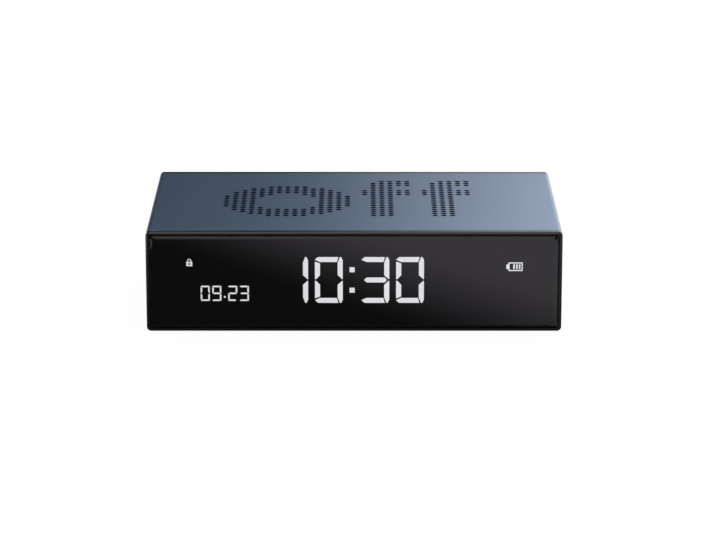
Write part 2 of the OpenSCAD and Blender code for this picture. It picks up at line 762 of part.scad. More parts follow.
// Key lock: a body with a keyhole, and a shackle on it
module lock_icon() {
    shackle_in = shackle_r - shackle_t;
    difference() {
        translate([-lock_w / 2, 0]) square([lock_w, lock_body_h]);
        translate([0, lock_body_h / 2]) circle(keyhole_r);
    }
    translate([0, lock_body_h + shackle_t]) difference() {
        union() {
            circle(shackle_r);
            translate([-shackle_r, -shackle_t - fit_gap]) square([2 * shackle_r, shackle_t + fit_gap]);
        }
        circle(shackle_in);
        translate([-shackle_in, -lock_w]) square([2 * shackle_in, lock_w]);
    }
}

// Battery gauge: an outline with its tip to the left, and the bars inside it
module gauge_icon() {
    inner_l = gauge_l - gauge_tip - 2 * gauge_stroke;
    bars_l = bar_count * bar_w + (bar_count - 1) * bar_gap;
    bars_x = gauge_l - gauge_stroke - bar_gap - bars_l;
    bar_foot = gauge_stroke + bar_margin;
    difference() {
        union() {
            translate([gauge_tip, 0]) square([gauge_l - gauge_tip, gauge_h]);
            translate([0, (gauge_h - gauge_tip_h) / 2]) square([gauge_tip + gauge_stroke, gauge_tip_h]);
        }
        translate([gauge_tip + gauge_stroke, gauge_stroke]) square([inner_l, gauge_h - 2 * gauge_stroke]);
    }
    for (i = [0 : bar_count - 1]) translate([bars_x + i * (bar_w + bar_gap), bar_foot])
        square([bar_w, gauge_h - 2 * bar_foot]);
}

module status_icons() {
    on_glass() {
        translate([lock_x, lock_rise]) lock_icon();
        translate([gauge_x, gauge_rise]) gauge_icon();
    }
}

module diffuser_film() {
    color("white") block([fit_gap - pocket_w / 2, lcd_back, guide_foot],
        [pocket_w / 2 - fit_gap, guide_front, guide_top]);
}

module light_guide() {
    color("lightcyan") block([-guide_w / 2, guide_front, guide_foot],
        [guide_w / 2, reflector_front, guide_top]);
}

module reflector_sheet() {
    color("white") block([fit_gap - pocket_w / 2, reflector_front, guide_foot],
        [pocket_w / 2 - fit_gap, holder_floor, guide_top]);
}

// The strips lie on the holder's end walls, between the film and the reflector
module backlight_strips() {
    color("goldenrod") for (side = [0, 1]) mirror([side, 0, 0])
        block([pocket_w / 2 - strip_t, guide_front, guide_foot],
            [pocket_w / 2, reflector_front, guide_top]);
}

module backlight_leds() {
    led_step = (guide_top - guide_foot) / led_count;
    color("ivory") for (side = [0, 1], i = [0 : led_count - 1]) mirror([side, 0, 0])
        translate([0, 0, guide_foot + (i + 0.5) * led_step])
            block([pocket_w / 2 - strip_t - led_t, guide_front + fit_gap, -led_l / 2],
                [pocket_w / 2 - strip_t, reflector_front - fit_gap, led_l / 2]);
}

module contact_strip() {
    color("dimgray") block([-contact_l / 2, lcd_back, contact_z],
        [contact_l / 2, holder_back, contact_z + contact_h]);
}

module lcd_holder() {
    color("whitesmoke") union() {
        difference() {
            along_y(lcd_back, holder_back) translate([0, mid_z]) square([holder_w, holder_h], center = true);
            along_y(lcd_back - cut, holder_floor) translate([0, mid_z])
                square([pocket_w, pocket_h], center = true);
            block([-contact_l / 2 - fit_gap, lcd_back, contact_z - fit_gap],
                [contact_l / 2 + fit_gap, holder_back + cut, contact_z + contact_h + fit_gap]);
        }
        for (p = peg_spots) rod_y(p[0], p[1], peg_r, holder_floor + holder_t / 2, display_board_back);
    }
}

module display_board() {
    color("darkgreen") difference() {
        along_y(holder_back, display_board_back) translate([0, mid_z])
            square([holder_w, holder_h], center = true);
        for (p = peg_spots) rod_y(p[0], p[1], peg_r + fit_gap, holder_back - cut, display_board_back + cut);
    }
}

module display_chip() {
    chip_z = chassis_floor + fit_gap;
    color("black") block([-driver_side / 2, display_board_back, chip_z],
        [driver_side / 2, display_board_back + chip_t, chip_z + driver_side]);
}

// Countersunk screws under the lens, into the sleeve's ports
module front_screws() {
    color("silver") for (p = port_spots) difference() {
        union() {
            cone_y(p[0], p[1], head_r, screw_r, lcd_front, lcd_front + head_r - screw_r);
            rod_y(p[0], p[1], screw_r, lcd_front + (head_r - screw_r) / 2, lcd_front + screw_l);
        }
        head_slots(p[0], p[1], lcd_front, 1);
    }
}

// Cloth over the whole of one word, glued inside the sleeve
module word_mesh(side, z0) {
    reach = mesh_margin;
    x0 = word_x - o_half * column_pitch - reach;
    x1 = word_x + word_end * column_pitch + reach;
    y0 = word_y - o_mid * row_pitch - reach;
    y1 = word_y + (f_rows - 1 - o_mid) * row_pitch + reach;
    mirror([side > 0 ? 0 : 1, 0, 0]) block([x0, y0, z0], [x1, y1, z0 + mesh_t]);
}

module top_mesh() {
    color("black") word_mesh(1, mesh_low);
}

module bottom_mesh() {
    color("black") word_mesh(-1, floor_z);
}

module chassis() {
    half = chassis_w / 2;
    bay_l = battery_l + 2 * bay_fit;
    bay_w = battery_w + 2 * bay_fit;
    color("dimgray") difference() {
        union() {
            block([-half, display_board_back, chassis_foot], [half, rear_board_front, chassis_floor]);
            for (side = [0, 1]) mirror([side, 0, 0])
                block([half - chassis_t, display_board_back, chassis_foot],
                    [half, rear_board_front, chassis_top]);
            translate([battery_x, bay_y, chassis_foot]) linear_extrude(chassis_t + rib_h) difference() {
                rounded_rect(bay_l + 2 * rib_t, bay_w + 2 * rib_t, battery_r + bay_fit + rib_t);
                rounded_rect(bay_l, bay_w, battery_r + bay_fit);
            }
            translate([speaker_x, bay_y, chassis_foot])
                cylinder(h = flange_top - chassis_foot, r = seat_r);
            for (side = [-1, 1]) {
                rod_y(side * boss_x, boss_z, boss_r, rear_board_front - boss_l, rear_board_front);
                block([side * boss_x - boss_r, rear_board_front - boss_l, chassis_foot],
                    [side * boss_x + boss_r, rear_board_front, boss_z]);
            }
        }
        translate([speaker_x, bay_y, chassis_floor]) cylinder(h = case_h, r = seat_in_r);
        translate([speaker_x, bay_y, flange_low]) cylinder(h = case_h, r = seat_pocket_r);
        block([speaker_x - wire_pitch - wire_d, bay_y, terminal_z - wire_d],
            [speaker_x + wire_pitch + wire_d, bay_y + seat_r + cut, flange_low + cut]);
        for (side = [-1, 1])
            rod_y(side * boss_x, boss_z, board_screw_r + thread_gap, rear_board_front - boss_l - cut,
                rear_board_front + cut);
    }
}

module battery_cell() {
    color("silver") translate([battery_x, bay_y, battery_foot]) linear_extrude(battery_t)
        rounded_rect(battery_l, battery_w, battery_r);
}

module battery_tape() {
    color("lightgray") translate([battery_x, bay_y, chassis_floor]) linear_extrude(battery_tape_t)
        square([battery_l - 4 * battery_r, battery_w - 4 * battery_r], center = true);
}

module battery_leads() {
    color("firebrick") for (side = [-1, 1])
        rod_y(battery_x + side * wire_pitch / 2, lead_z, wire_d / 2, bay_y + battery_w / 2,
            rear_board_front - plug_d);
}

module battery_plug() {
    color("ivory") block([battery_x - plug_w / 2, rear_board_front - plug_d, lead_z - plug_h / 2],
        [battery_x + plug_w / 2, rear_board_front, lead_z + plug_h / 2]);
}

// A round piece of the loudspeaker, from its half outline of radius and height
module turned(points) {
    translate([speaker_x, bay_y, 0]) rotate_extrude() polygon(points);
}

module speaker_frame() {
    color("gray") union() {
        turned([[pole_r + ring_gap, basket_low], [basket_r + basket_t, basket_low],
            [flange_in_r + basket_t, flange_low], [speaker_r, flange_low], [speaker_r, flange_top],
            [flange_in_r, flange_top], [flange_in_r, flange_low + basket_t],
            [basket_r, basket_low + basket_t], [pole_r + ring_gap, basket_low + basket_t]]);
        translate([speaker_x, bay_y, 0])
            block([-wire_pitch, basket_r, basket_low], [wire_pitch, terminal_y, basket_low + terminal_h]);
    }
}

module speaker_magnet() {
    color("darkgray") turned([[0, magnet_low], [magnet_d / 2, magnet_low], [magnet_d / 2, basket_low],
        [pole_r + ring_gap, basket_low], [pole_r + ring_gap, magnet_low + basket_t],
        [pole_r, magnet_low + basket_t], [pole_r, basket_low], [0, basket_low]]);
}

// Paper cone with its centre cap, from the coil out to the basket's flange
module speaker_cone() {
    coil_out = voice_coil_r + voice_coil_t;
    color("black") turned([[0, voice_coil_top], [coil_out, voice_coil_top],
        [cone_r, cone_rim], [cone_r, cone_rim + cone_t],
        [coil_out, voice_coil_top + 2 * cone_t], [0, voice_coil_top + 3 * cone_t]]);
}

module voice_coil() {
    low = voice_coil_top - voice_coil_l;
    color("orange") turned([[voice_coil_r, low], [voice_coil_r + voice_coil_t, low],
        [voice_coil_r + voice_coil_t, voice_coil_top], [voice_coil_r, voice_coil_top]]);
}

module speaker_gasket() {
    color("dimgray") turned([[speaker_r - gasket_w, flange_top], [speaker_r, flange_top],
        [speaker_r, mesh_low], [speaker_r - gasket_w, mesh_low]]);
}

module speaker_leads() {
    color("firebrick") for (side = [-1, 1])
        rod_y(speaker_x + side * wire_pitch / 2, terminal_z, wire_d / 2, bay_y + terminal_y,
            rear_board_front);
}

module rear_board() {
    color("darkgreen") difference() {
        block([-rear_board_w / 2, rear_board_front, board_foot],
            [rear_board_w / 2, rear_board_back, board_foot + holder_h]);
        for (side = [-1, 1])
            rod_y(side * boss_x, boss_z, board_screw_r + screw_gap, rear_board_front - cut,
                rear_board_back + cut);
    }
}

module board_screws() {
    color("silver") for (side = [-1, 1]) difference() {
        union() {
            rod_y(side * boss_x, boss_z, head_r, rear_board_back, rear_board_back + head_h);
            rod_y(side * boss_x, boss_z, board_screw_r, rear_board_back - board_screw_l,
                rear_board_back + weld);
        }
        head_slots(side * boss_x, boss_z, rear_board_back + head_h, -1);
    }
}

module control_chip() {
    chip_z = chassis_floor + fit_gap;
    color("black") block([chip_x - chip_side / 2, rear_board_front - chip_t, chip_z],
        [chip_x + chip_side / 2, rear_board_front, chip_z + chip_side]);
}

module crystal_can() {
    color("silver") translate([crystal_x, rear_board_front - crystal_r - fit_gap, mid_z])
        rotate([0, 90, 0]) cylinder(h = crystal_l, r = crystal_r);
}

module charge_coil() {
    color("dimgray") translate([coil_x, 0, mid_z]) union() {
        block([-coil_side / 2, rear_board_front - coil_base_t, -coil_side / 2],
            [coil_side / 2, rear_board_front, coil_side / 2]);
        rod_y(0, 0, coil_r, rear_board_front - coil_h, rear_board_front);
    }
}

module flat_cable() {
    color("white") block([-cable_w / 2, display_board_back + socket_d - cable_in, cable_z - cable_t / 2],
        [cable_w / 2, rear_board_front - socket_d + cable_in, cable_z + cable_t / 2]);
}

// One socket on each board, with a slot that the flat cable goes into
module cable_sockets() {
    half = cable_w / 2 + 2 * fit_gap;
    color("ivory") difference() {
        for (y = [display_board_back, rear_board_front - socket_d])
            block([-half - skirt_t, y, cable_z - socket_h / 2],
                [half + skirt_t, y + socket_d, cable_z + socket_h / 2]);
        block([-cable_w / 2 - fit_gap, display_board_back + cable_t, cable_z - cable_t / 2 - fit_gap],
            [cable_w / 2 + fit_gap, rear_board_front - cable_t, cable_z + cable_t / 2 + fit_gap]);
    }
}

module tilt_can() {
    color("gold") translate([tilt_x, tilt_y, tilt_z]) difference() {
        cylinder(h = tilt_h, r = tilt_r);
        translate([0, 0, -cut]) cylinder(h = tilt_h - tilt_wall + cut, r = tilt_r - tilt_wall);
    }
}

// Base of the ball switch, with two pins to the rear board
module tilt_base() {
    color("black") translate([tilt_x, tilt_y, tilt_z]) union() {
        translate([0, 0, -tilt_base_t]) cylinder(h = tilt_base_t, r = tilt_r);
        translate([0, 0, -weld]) cylinder(h = weld + tilt_wall, r = tilt_r - tilt_wall - fit_gap);
        for (side = [-1, 1])
            block([side * tilt_r / 2 - slot_w / 2, 0, -tilt_base_t / 2 - slot_w / 2],
                [side * tilt_r / 2 + slot_w / 2, rear_board_front - tilt_y, -tilt_base_t / 2 + slot_w / 2]);
    }
}

module tilt_ball() {
    color("silver") translate([tilt_x, tilt_y, ball_rest]) sphere(ball_r);
}

module switch_bodies() {
    bore_foot = switch_top - plunger_in - key_travel - key_gap;
    color("silver") for (x = key_spots) difference() {
        block([x - switch_side / 2, rear_board_back, mid_z - switch_side / 2],
            [x + switch_side / 2, switch_top, mid_z + switch_side / 2]);
        rod_y(x, mid_z, plunger_r + plunger_gap, bore_foot, switch_top + cut);
    }
}

module plunger(i) {
    color("black") rod_y(key_spots[i], mid_z, plunger_r, switch_top - plunger_in, flange_front);
}

module time_plunger() { plunger(0); }

module alarm_plunger() { plunger(1); }

module plus_plunger() { plunger(2); }

module minus_plunger() { plunger(3); }

module key(i) {
    color("darkslategray") translate([key_spots[i], 0, mid_z]) union() {
        bevelled_bar(key_w, key_h, key_r, flange_front, back_y - key_sink, 0, key_bevel);
        along_y(flange_front, flange_back)
            rounded_rect(key_w + 2 * key_flange, key_h + 2 * key_flange, key_r + key_flange);
    }
}

module time_key() { key(0); }

module alarm_key() { key(1); }

module plus_key() { key(2); }

module minus_key() { key(3); }

module usb_outline(grow) {
    rounded_rect(usb_w + 2 * grow, usb_h + 2 * grow, usb_h / 2 + grow - usb_wall / 4);
}

module usb_shell() {
    color("silver") translate([usb_x, 0, mid_z]) difference() {
        along_y(usb_front, usb_mouth) usb_outline(0);
        along_y(usb_front + 2 * usb_wall, usb_mouth + cut) usb_outline(-usb_wall);
    }
}

module usb_tongue() {
    color("black") translate([usb_x, 0, mid_z])
        along_y(usb_front + 2 * usb_wall, usb_mouth - tongue_sink)
            square([tongue_w, tongue_t], center = true);
}

module rear_cover() {
    recess_w = (key_count - 1) * key_pitch + key_w + 2 * recess_margin;
    recess_h = key_h + 2 * recess_margin;
    color("black") difference() {
        union() {
            end_piece(sleeve_back, back_y, cover_in, sleeve_back + weld, cover_in - skirt_l,
                cover_in + weld, 0, end_bevel);
            for (side = [-1, 1])
                rod_y(side * boss_x, post_z, boss_r, rear_board_back, cover_in + weld);
        }
        along_y(recess_floor, back_y + cut) translate([keys_x, mid_z])
            rounded_rect(recess_w, recess_h, key_r + recess_margin);
        for (x = key_spots) along_y(cover_in - cut, back_y) translate([x, mid_z])
            rounded_rect(key_w + 2 * key_gap, key_h + 2 * key_gap, key_r + key_gap);
        along_y(cover_in - cut, back_y + cut) translate([usb_x, mid_z]) usb_outline(key_gap);
        for (p = port_spots) {
            rod_y(p[0], p[1], screw_r + screw_gap, cover_in - cut, back_y);
            rod_y(p[0], p[1], head_r + screw_gap, back_y - head_h - key_sink, back_y + cut);
        }
    }
}

// Round-headed screws, sunk in the back cover and held in the sleeve's ports
module rear_screws() {
    seat = back_y - head_h - key_sink;
    color("dimgray") for (p = port_spots) difference() {
        union() {
            rod_y(p[0], p[1], head_r, seat, seat + head_h);
            rod_y(p[0], p[1], screw_r, seat - screw_l, seat + weld);
        }
        head_slots(p[0], p[1], seat + head_h, -1);
    }
}

case_sleeve();
front_frame();
display_lens();
lens_tape();
lcd_panel();
time_segments();
date_segments();
status_icons();
diffuser_film();
light_guide();
reflector_sheet();
backlight_strips();
backlight_leds();
contact_strip();
lcd_holder();
display_board();
display_chip();
front_screws();
top_mesh();
bottom_mesh();
chassis();
battery_cell();
battery_tape();
battery_leads();
battery_plug();
speaker_frame();
speaker_magnet();
speaker_cone();
voice_coil();
speaker_gasket();
speaker_leads();
rear_board();
board_screws();
control_chip();
crystal_can();
charge_coil();
flat_cable();
cable_sockets();
tilt_can();
tilt_base();
tilt_ball();
switch_bodies();
time_plunger();
alarm_plunger();
plus_plunger();
minus_plunger();
time_key();
alarm_key();
plus_key();
minus_key();
usb_shell();
usb_tongue();
rear_cover();
rear_screws();
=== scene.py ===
# Flip-over digital alarm clock: the looks of its pieces, in the order that they are put together.
# Metres. +X to the right, +Y to the back, +Z up, with the origin under the middle of the case.
import math

import bpy
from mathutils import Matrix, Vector


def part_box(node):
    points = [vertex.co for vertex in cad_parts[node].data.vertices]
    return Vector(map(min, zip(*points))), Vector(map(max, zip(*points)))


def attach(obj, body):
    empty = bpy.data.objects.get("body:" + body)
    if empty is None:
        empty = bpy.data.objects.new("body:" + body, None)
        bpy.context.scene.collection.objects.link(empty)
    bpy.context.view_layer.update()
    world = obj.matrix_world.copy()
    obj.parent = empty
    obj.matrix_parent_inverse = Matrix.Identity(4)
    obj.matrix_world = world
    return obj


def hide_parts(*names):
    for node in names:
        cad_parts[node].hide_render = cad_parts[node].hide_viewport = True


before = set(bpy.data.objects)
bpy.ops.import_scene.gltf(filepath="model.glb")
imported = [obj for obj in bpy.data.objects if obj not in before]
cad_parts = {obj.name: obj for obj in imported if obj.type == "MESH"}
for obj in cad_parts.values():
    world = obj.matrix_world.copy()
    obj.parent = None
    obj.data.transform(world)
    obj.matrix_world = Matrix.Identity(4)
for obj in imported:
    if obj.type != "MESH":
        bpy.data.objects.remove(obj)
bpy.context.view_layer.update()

# Case sleeve
# An aluminium extrusion with the sound holes drilled in it, bead blasted and then anodised slate blue.
# Its two ends are milled to a chamfer. The front frame and the back cover plug into them.
MM = 0.001


def linear(colour):
    """Linear colour, with alpha 1, from an sRGB hex value."""
    parts = [int(colour[i:i + 2], 16) / 255 for i in (1, 3, 5)]
    return [p / 12.92 if p <= 0.04045 else ((p + 0.055) / 1.055) ** 2.4 for p in parts] + [1.0]


def add_node(tree, kind, inputs, **settings):
    """A shader node with its settings, and its inputs set to values or linked to sockets."""
    node = tree.nodes.new("ShaderNode" + kind)
    for name, value in settings.items():
        setattr(node, name, value)
    for name, value in inputs.items():
        if isinstance(value, bpy.types.NodeSocket):
            tree.links.new(value, node.inputs[name])
        else:
            node.inputs[name].default_value = value
    return node


def start_material(name):
    """A new material, its empty node tree, and the coordinates that its patterns are placed by."""
    material = bpy.data.materials.new(name)
    material.use_nodes = True
    tree = material.node_tree
    tree.nodes.clear()
    place = add_node(tree, "TexCoord", {}).outputs["Object"]
    return material, tree, place


def paint(material, *nodes):
    """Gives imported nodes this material."""
    for node in nodes:
        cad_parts[node].material_slots[0].material = material


# Blasting leaves dimples of about 0.1 mm, drawn at 0.3 mm so that they show, and a satin gloss. The dye
# lies in the oxide, so it also colours glancing light, and it drifts a little over some centimetres. The
# sealed surface adds a white sheen. The milled chamfers are smoother than the rest. The walls of the
# holes and the inside are painted near black, matt and without metal or sheen. This is painted shade that
# keeps the holes dark.
aluminium, tree, place = start_material("blasted_anodised_aluminium")
sleeve_low, sleeve_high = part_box("case_sleeve")
mid_z = (sleeve_low.z + sleeve_high.z) / 2
chamfer = 0.35 * MM
side_wall = 3 * MM
skin = 0.05 * MM
dimple = 0.3 * MM
dye_drift = 25 * MM
seal_weight = 0.9
dimples = add_node(tree, "TexNoise", {"Vector": place, "Scale": 1 / dimple, "Detail": 2.0}).outputs["Fac"]
drift = add_node(tree, "TexNoise", {"Vector": place, "Scale": 1 / dye_drift, "Detail": 1.0}).outputs["Fac"]
dye = add_node(tree, "Mix", {0: drift, 6: linear("#5f738d"), 7: linear("#647892")}, data_type="RGBA")
offset = add_node(tree, "VectorMath", {0: place, 1: (0, 0, mid_z)}, operation="SUBTRACT").outputs[0]
reach = add_node(tree, "VectorMath", {0: offset}, operation="ABSOLUTE").outputs[0]
axes = add_node(tree, "SeparateXYZ", {"Vector": reach}).outputs
milled = add_node(tree, "Math", {0: axes["Y"], 1: sleeve_high.y - chamfer}, operation="GREATER_THAN")
between = add_node(tree, "Math", {0: axes["X"], 1: sleeve_high.x - side_wall}, operation="LESS_THAN")
under = add_node(tree, "Math", {0: axes["Z"], 1: sleeve_high.z - mid_z - skin}, operation="LESS_THAN")
# Painted shade: inside the outer skin, hole walls included, the sleeve is coloured near black, matt and
# without metal
inside = add_node(tree, "Math", {0: between.outputs[0], 1: under.outputs[0]}, operation="MULTIPLY").outputs[0]
metal = add_node(tree, "Math", {0: 1.0, 1: inside}, operation="SUBTRACT").outputs[0]
seal = add_node(tree, "Math", {0: metal, 1: seal_weight}, operation="MULTIPLY").outputs[0]
# The near black here is painted shade in the holes, not a coating
colour = add_node(tree, "Mix", {0: inside, 6: dye.outputs[2], 7: linear("#05070b")}, data_type="RGBA")
satin = add_node(tree, "MapRange", {"Value": dimples, "To Min": 0.47, "To Max": 0.55}).outputs[0]
outer_gloss = add_node(tree, "Mix", {0: milled.outputs[0], 2: satin, 3: 0.22}).outputs[0]
gloss = add_node(tree, "Mix", {0: inside, 2: outer_gloss, 3: 0.8}).outputs[0]
relief = add_node(tree, "Bump", {"Height": dimples, "Strength": 0.06, "Distance": 0.05 * MM}).outputs[0]
shader = add_node(tree, "BsdfPrincipled", {"Base Color": colour.outputs[2], "Metallic": metal,
                                           "Roughness": gloss, "Specular Tint": linear("#dae8ff"),
                                           "Coat Weight": seal, "Coat Roughness": 0.32, "Normal": relief})
add_node(tree, "OutputMaterial", {"Surface": shader.outputs[0]})
paint(aluminium, "case_sleeve")

# Acoustic cloth
# Black polyester mesh behind each word of sound holes, glued to the inside of the sleeve.
# It keeps dust out and lets sound through.

# The threads lie 0.25 mm apart and leave a fine check of dark grey on black. A wave texture's bands are
# tau / 20 metres apart at scale 1.
cloth, tree, place = start_material("woven_polyester_mesh")
unit_band = math.tau / 20
thread_pitch = 0.25 * MM
threads = []
for direction in ("X", "Y"):
    wave = add_node(tree, "TexWave", {"Vector": place, "Scale": unit_band / thread_pitch},
                    bands_direction=direction)
    threads.append(wave.outputs["Fac"])
weave = add_node(tree, "Math", {0: threads[0], 1: threads[1]}, operation="MAXIMUM").outputs[0]
black = add_node(tree, "Mix", {0: weave, 6: linear("#050609"), 7: linear("#171a21")}, data_type="RGBA")
relief = add_node(tree, "Bump", {"Height": weave, "Strength": 0.6, "Distance": 0.06 * MM}).outputs[0]
shader = add_node(tree, "BsdfPrincipled", {"Base Color": black.outputs[2], "Roughness": 0.85,
                                           "Normal": relief})
add_node(tree, "OutputMaterial", {"Surface": shader.outputs[0]})
paint(cloth, "top_mesh", "bottom_mesh")

# Chassis
# A tray moulded in dark grey ABS, clamped between the two circuit boards on the sleeve's lower ports.
# It holds the battery in its ribs and the loudspeaker in its round seat.


def mottled(name, dark, light, spot, rough, relief, metallic=0.0):
    """A finish whose colour, gloss and relief vary over spots. Spot and relief are in millimetres."""
    material, tree, place = start_material(name)
    noise = add_node(tree, "TexNoise", {"Vector": place, "Scale": 1 / (spot * MM), "Detail": 3.0})
    spots = noise.outputs["Fac"]
    colour = add_node(tree, "Mix", {0: spots, 6: linear(dark), 7: linear(light)}, data_type="RGBA")
    gloss = add_node(tree, "MapRange", {"Value": spots, "To Min": rough - 0.06, "To Max": rough + 0.06})
    bump = add_node(tree, "Bump", {"Height": spots, "Strength": 0.3, "Distance": relief * MM})
    shader = add_node(tree, "BsdfPrincipled", {"Base Color": colour.outputs[2], "Metallic": metallic,
                                               "Roughness": gloss.outputs[0], "Normal": bump.outputs[0]})
    add_node(tree, "OutputMaterial", {"Surface": shader.outputs[0]})
    return material


# A spark-eroded mould leaves an even, fine grain of about 0.3 mm on the plastic
paint(mottled("moulded_grey_abs", "#3b3b3d", "#4b4b4e", spot=0.3, rough=0.55, relief=0.02), "chassis")

# Battery
# A lithium pouch cell: a foil laminate bag, taped to the chassis floor, with two insulated leads
# that end in a nylon plug on the rear board.

# The foil is bright, with soft dents of about 4 mm. The tape is milky, the sleeving has a soft sheen, and
# the nylon looks waxy.
paint(mottled("foil_laminate", "#b4b6ba", "#d3d5d8", spot=4.0, rough=0.35, relief=0.15, metallic=0.9),
      "battery_cell")
paint(mottled("acrylic_tape", "#c9c8c2", "#dad9d4", spot=2.0, rough=0.5, relief=0.01), "battery_tape")
red_sleeving = mottled("red_silicone_sleeving", "#8f1410", "#b3261f", spot=0.8, rough=0.45, relief=0.01)
paint(red_sleeving, "battery_leads")
ivory_nylon = mottled("ivory_nylon", "#e2dcc4", "#efe9d3", spot=0.8, rough=0.4, relief=0.01)
paint(ivory_nylon, "battery_plug")

# Loudspeaker
# A stamped steel basket with a magnet under it, a paper cone on a copper coil, and a foam ring that
# seals it to the cloth. Its two leads go to the rear board.

# The stamping leaves faint clouds on the steel, the plating is brighter, the paper is fibrous and matt, and
# the foam has open cells of about 0.5 mm
paint(mottled("stamped_steel", "#77787a", "#8f9093", spot=1.5, rough=0.35, relief=0.01, metallic=1.0),
      "speaker_frame")
paint(mottled("zinc_plated_iron", "#8a8c90", "#a5a7ab", spot=1.0, rough=0.3, relief=0.01, metallic=1.0),
      "speaker_magnet")
paint(mottled("pressed_paper", "#141414", "#232221", spot=0.4, rough=0.85, relief=0.05), "speaker_cone")
paint(mottled("polyurethane_foam", "#2a2a2b", "#3b3b3c", spot=0.5, rough=0.9, relief=0.2), "speaker_gasket")
paint(red_sleeving, "speaker_leads")

# The coil's turns of enamelled wire lie 0.15 mm apart along its axis
winding, tree, place = start_material("enamelled_copper_wire")
wire_pitch = 0.15 * MM
turns = add_node(tree, "TexWave", {"Vector": place, "Scale": unit_band / wire_pitch},
                 bands_direction="Z").outputs["Fac"]
copper = add_node(tree, "Mix", {0: turns, 6: linear("#6e3412"), 7: linear("#c8773a")}, data_type="RGBA")
relief = add_node(tree, "Bump", {"Height": turns, "Strength": 0.8, "Distance": 0.05 * MM}).outputs[0]
shader = add_node(tree, "BsdfPrincipled", {"Base Color": copper.outputs[2], "Metallic": 1.0,
                                           "Roughness": 0.3, "Normal": relief})
add_node(tree, "OutputMaterial", {"Surface": shader.outputs[0]})
paint(winding, "voice_coil")

# Circuit boards
# Glass-epoxy boards under green solder mask: one behind the display, one that carries the key switches.
# Copper tracks lie 1.2 mm apart under the mask and lift it a little.
board, tree, place = start_material("green_solder_mask")
track_pitch = 1.2 * MM
tracks = add_node(tree, "TexWave", {"Vector": place, "Scale": unit_band / track_pitch,
                                    "Distortion": 1.5, "Detail": 0.0}, bands_direction="X")
raised = add_node(tree, "MapRange", {"Value": tracks.outputs["Fac"], "From Min": 0.7,
                                     "From Max": 0.8}).outputs[0]
mask = add_node(tree, "Mix", {0: raised, 6: linear("#0d3b21"), 7: linear("#1b6a3c")}, data_type="RGBA")
relief = add_node(tree, "Bump", {"Height": raised, "Strength": 0.5, "Distance": 0.03 * MM}).outputs[0]
shader = add_node(tree, "BsdfPrincipled", {"Base Color": mask.outputs[2], "Roughness": 0.3,
                                           "Normal": relief})
add_node(tree, "OutputMaterial", {"Surface": shader.outputs[0]})
paint(board, "rear_board", "display_board")

# Chips and other components on the boards: black epoxy is matt and even, ferrite has dark grains, and
# plated steel is bright with a fine haze
epoxy = mottled("black_epoxy", "#121212", "#1e1e1f", spot=0.2, rough=0.6, relief=0.01)
paint(epoxy, "control_chip", "display_chip")
paint(mottled("sintered_ferrite", "#252528", "#37373b", spot=0.4, rough=0.5, relief=0.03), "charge_coil")
plated_steel = mottled("nickel_plated_steel", "#a9a7a2", "#c2c0bb", spot=0.6, rough=0.25, relief=0.005,
                       metallic=1.0)
paint(plated_steel, "crystal_can", "board_screws")

# Flat cable
# A white polyester ribbon, laminated over its tinned conductors, which show through as grey stripes 0.5 mm
# apart. Its ends are pushed into an ivory socket on each board.
ribbon, tree, place = start_material("polyester_ribbon")
conductor_pitch = 0.5 * MM
conductors = add_node(tree, "TexWave", {"Vector": place, "Scale": unit_band / conductor_pitch},
                      bands_direction="X").outputs["Fac"]
white = add_node(tree, "Mix", {0: conductors, 6: linear("#e6e6e2"), 7: linear("#b9bcc0")}, data_type="RGBA")
shader = add_node(tree, "BsdfPrincipled", {"Base Color": white.outputs[2], "Roughness": 0.4})
add_node(tree, "OutputMaterial", {"Surface": shader.outputs[0]})
paint(ribbon, "flat_cable")
paint(ivory_nylon, "cable_sockets")

# Tilt switch
# A gilt brass can on a black base, with a steel ball that rolls to whichever end is lower and so tells
# the clock which face is up. The gilding is warm and bright.
paint(mottled("gilt_brass", "#b58a34", "#d0a650", spot=0.7, rough=0.28, relief=0.005, metallic=1.0),
      "tilt_can")
paint(epoxy, "tilt_base")
paint(plated_steel, "tilt_ball")

# Backlight
# A white moulded holder with a reflector, a clear light guide and a diffuser film, lit at both ends by
# LEDs on amber flexible strips. A layered rubber strip joins the LCD to its board.

# The plastics are smooth and only slightly uneven. The rubber's conducting layers show as stripes.
paint(mottled("white_abs", "#dcdcd8", "#ecece9", spot=0.4, rough=0.5, relief=0.01), "lcd_holder")
white_film = mottled("white_polyester_film", "#e4e5e6", "#f0f1f1", spot=1.2, rough=0.45, relief=0.005)
paint(white_film, "reflector_sheet", "diffuser_film")
paint(mottled("amber_polyimide", "#9c6a16", "#b98427", spot=0.6, rough=0.35, relief=0.01), "backlight_strips")
paint(mottled("led_resin", "#e6ddae", "#f3ecc6", spot=0.5, rough=0.35, relief=0.005), "backlight_leds")
paint(mottled("clear_acrylic", "#d5e2e6", "#e3edf0", spot=3.0, rough=0.12, relief=0.005), "light_guide")

zebra, tree, place = start_material("layered_contact_rubber")
layer_pitch = 0.4 * MM
layers = add_node(tree, "TexWave", {"Vector": place, "Scale": unit_band / layer_pitch},
                  bands_direction="X").outputs["Fac"]
rubber = add_node(tree, "Mix", {0: layers, 6: linear("#1b1b1c"), 7: linear("#8b8b89")}, data_type="RGBA")
shader = add_node(tree, "BsdfPrincipled", {"Base Color": rubber.outputs[2], "Roughness": 0.7})
add_node(tree, "OutputMaterial", {"Surface": shader.outputs[0]})
paint(zebra, "contact_strip")

